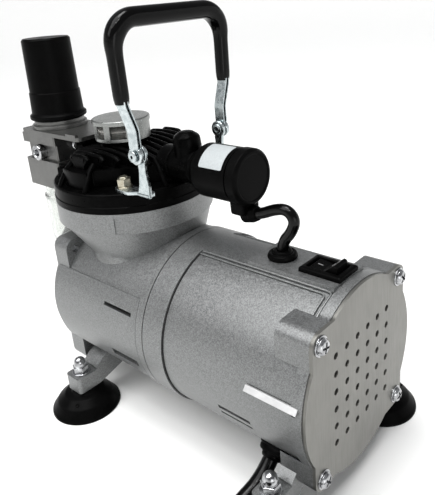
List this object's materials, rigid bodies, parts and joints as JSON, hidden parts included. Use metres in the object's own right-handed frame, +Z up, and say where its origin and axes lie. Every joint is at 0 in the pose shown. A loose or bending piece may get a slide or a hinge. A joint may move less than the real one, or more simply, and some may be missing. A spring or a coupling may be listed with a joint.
{
  "type": "airbrush compressor",
  "caption": "Small oil-less piston air compressor for airbrushes: round silver motor housing on suction-cup feet, finned head, folding handle, pressure switch, regulator with water trap.",
  "frame": {"origin": "on the bench under the middle of the compressor's box, measured without the mains cord", "axes": "+Y along the motor axis towards the air regulator, +Z up, +X across; the vented plate and the rocker switch are at the -Y end"},
  "size_m": [0.2295, 0.2955, 0.2099],
  "materials": {
    "silver_paint": "metallic silver paint, fine sparkle",
    "plate_metal": "satin",
    "screw_zinc": "bright",
    "bolt_yellow": "yellow zinc",
    "gasket_black": "matt",
    "switch_black": "satin moulded",
    "grommet_rubber": "satin",
    "cable_black": "gloss PVC",
    "pressure_switch_black": "satin",
    "label_white": "paper",
    "head_black": "gloss enamel",
    "pump_steel": "machined",
    "filter_metal": "satin",
    "filter_felt": "felt",
    "handle_zinc": "galvanised",
    "grip_pvc": "dipped PVC",
    "regulator_alloy": "satin die cast",
    "knob_black": "satin moulded",
    "bowl_clear": "clear polycarbonate",
    "filter_white": "sintered",
    "baffle_black": "moulded",
    "gauge_black": "enamel",
    "dial_white": "printed",
    "needle_black": "matt",
    "cup_rubber": "satin rubber",
    "motor_iron": "laminated",
    "winding_copper": "enamelled copper",
    "inner_alloy": "cast",
    "fan_plastic": "moulded",
    "piston_ptfe": "filled PTFE"
  },
  "bodies": {
    "frame": {"rear_housing": "silver_paint", "front_crankcase": "silver_paint", "crankcase_cover": "silver_paint", "vent_plate": "plate_metal", "housing_screws": "screw_zinc", "foot_nuts": "screw_zinc", "side_plug": "screw_zinc", "inlet_nipple": "screw_zinc", "foot_studs": "screw_zinc", "head_bolts": "bolt_yellow", "housing_gasket": "gasket_black", "switch_bezel": "switch_black", "lead_grommet": "grommet_rubber", "strain_relief": "grommet_rubber", "switch_lead": "cable_black", "power_cord": "cable_black", "cord_coil": "cable_black", "cord_plug": "cable_black", "pressure_switch_cap": "pressure_switch_black", "pressure_switch_body": "pressure_switch_black", "switch_elbow": "pressure_switch_black", "switch_label": "label_white", "cylinder_head": "head_black", "valve_plate": "pump_steel", "reed_valves": "pump_steel", "cylinder_sleeve": "pump_steel", "motor_bearings": "pump_steel", "regulator_spring": "pump_steel", "intake_cap": "filter_metal", "intake_felt": "filter_felt", "handle_brackets": "handle_zinc", "handle_pins": "handle_zinc", "regulator_block": "regulator_alloy", "regulator_bracket": "regulator_alloy", "ring_nut": "regulator_alloy", "outlet_nipple": "regulator_alloy", "trap_bowl": "bowl_clear", "gauge_lens": "bowl_clear", "filter_element": "filter_white", "filter_baffle": "baffle_black", "gauge_case": "gauge_black", "gauge_dial": "dial_white", "suction_cups": "cup_rubber", "stator_core": "motor_iron", "stator_windings": "winding_copper", "bearing_brackets": "inner_alloy"},
    "handle": {"handle_frame": "handle_zinc", "handle_grip": "grip_pvc"},
    "rocker_key": {"rocker": "switch_black"},
    "adjuster": {"adjusting_screw": "pump_steel"},
    "knob": {"regulator_knob": "knob_black"},
    "needle": {"gauge_needle": "needle_black"},
    "drain_valve": {"drain_button": "knob_black"},
    "motor_rotor": {"motor_shaft": "pump_steel", "rotor": "motor_iron", "cooling_fan": "fan_plastic", "crank": "pump_steel"},
    "piston": {"piston_rod": "inner_alloy", "piston_cup": "piston_ptfe"}
  },
  "joints": [
    {"name": "handle_fold", "type": "hinge", "parent": "frame", "child": "handle", "pos_m": [0, -0.01855, 0.14665], "axis": [1, 0, 0], "range_deg": [-62, 95]},
    {"name": "rocker_rock", "type": "hinge", "parent": "frame", "child": "rocker_key", "pos_m": [0, -0.09955, 0.09975], "axis": [1, 0, 0], "range_deg": [0, 14]},
    {"name": "adjuster_turn", "type": "hinge", "parent": "frame", "child": "adjuster", "pos_m": [0, 0.08605, 0.14525], "axis": [0, 0, 1], "range_deg": [-720, 720]},
    {"name": "knob_lift", "type": "slide", "parent": "adjuster", "child": "knob", "axis": [0, 0, 1], "range_m": [0, 0.003]},
    {"name": "needle_sweep", "type": "hinge", "parent": "frame", "child": "needle", "pos_m": [0.0254, 0.08605, 0.12825], "axis": [1, 0, 0], "range_deg": [-270, 0], "stiffness_Nm_per_rad": 0.0001},
    {"name": "drain_press", "type": "slide", "parent": "frame", "child": "drain_valve", "axis": [0, 0, 1], "range_m": [0, 0.002], "stiffness_N_per_m": 300, "springref_m": -0.002},
    {"name": "motor_spin", "type": "hinge", "parent": "frame", "child": "motor_rotor", "pos_m": [0, -0.05595, 0.05525], "axis": [0, 1, 0], "continuous": true},
    {"name": "rod_swing", "type": "hinge", "parent": "motor_rotor", "child": "piston", "pos_m": [0, 0.02305, 0.06025], "axis": [0, 1, 0], "continuous": true}
  ],
  "couplings": [
    {"joint": "rod_swing", "follows": "motor_spin", "ratio": -1}
  ]
}
